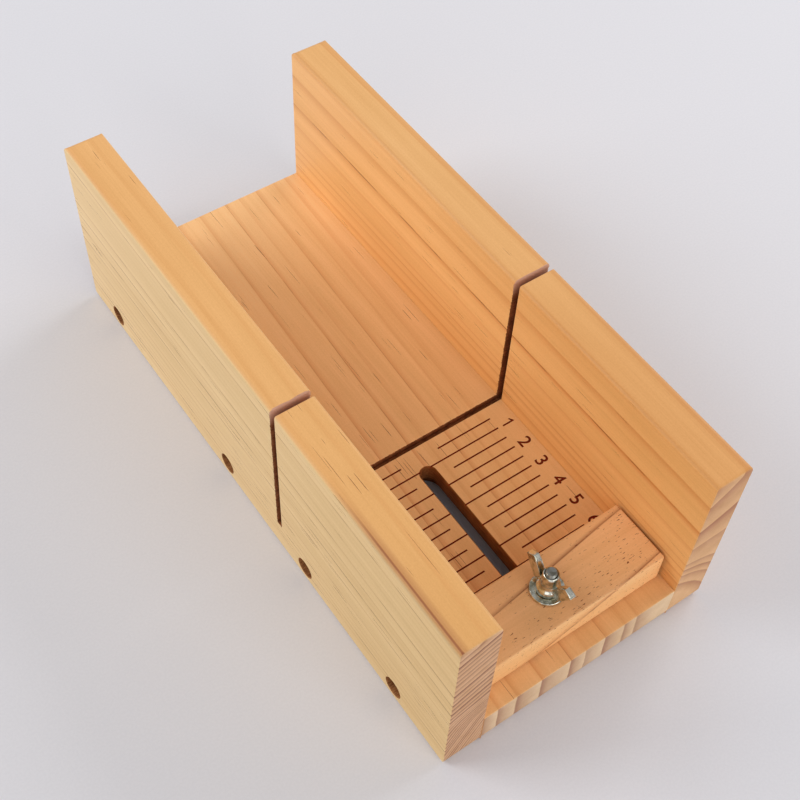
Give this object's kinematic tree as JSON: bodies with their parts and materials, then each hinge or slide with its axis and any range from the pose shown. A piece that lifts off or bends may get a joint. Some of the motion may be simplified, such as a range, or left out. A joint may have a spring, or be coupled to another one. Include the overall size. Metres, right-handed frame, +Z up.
{
  "type": "soap loaf cutting box",
  "caption": "Wooden trough that holds a soap loaf, with a kerf across both walls to guide a blade and a sliding stop clamped by a bolt and wing nut.",
  "frame": {"origin": "under the middle of the box, on the surface it stands on", "axes": "+Y along the trough from the stop end to the open end, +Z up, +X to the right seen from the stop end"},
  "size_m": [0.1126, 0.2416, 0.0812],
  "materials": {
    "wall_pine": "clear satin varnish on pale pine",
    "base_pine": "clear satin varnish on amber pine",
    "block_pine": "sanded pine",
    "screw_steel": "zinc-plated wood screw",
    "zinc_steel": "bright zinc plate"
  },
  "bodies": {
    "trough": {"base_board": "base_pine", "left_wall": "wall_pine", "right_wall": "wall_pine", "left_screw_1": "screw_steel", "left_screw_2": "screw_steel", "left_screw_3": "screw_steel", "left_screw_4": "screw_steel", "right_screw_1": "screw_steel", "right_screw_2": "screw_steel", "right_screw_3": "screw_steel", "right_screw_4": "screw_steel"},
    "carriage": {"upper_washer": "zinc_steel"},
    "stop": {"stop_block": "block_pine"},
    "nut": {"wing_nut": "zinc_steel"},
    "bolt": {"stop_bolt": "zinc_steel", "lower_washer": "zinc_steel"}
  },
  "joints": [
    {"name": "stop_slide", "type": "slide", "parent": "trough", "child": "carriage", "axis": [0, 1, 0], "range_m": [-0.004, 0.0662]},
    {"name": "stop_swivel", "type": "hinge", "parent": "carriage", "child": "stop", "pos_m": [-0.0013, -0.1006, 0.0237], "axis": [0, 0, 1], "range_deg": [-5, 5]},
    {"name": "nut_turn", "type": "hinge", "parent": "carriage", "child": "nut", "pos_m": [-0.0013, -0.1006, 0.037], "axis": [0, 0, 1], "range_deg": [0, 2250]},
    {"name": "bolt_drop", "type": "slide", "parent": "carriage", "child": "bolt", "axis": [0, 0, 1], "range_m": [-0.0045, 0]}
  ],
  "couplings": [
    {"joint": "bolt_drop", "follows": "nut_turn", "m_per_rad": -0.00011141}
  ]
}
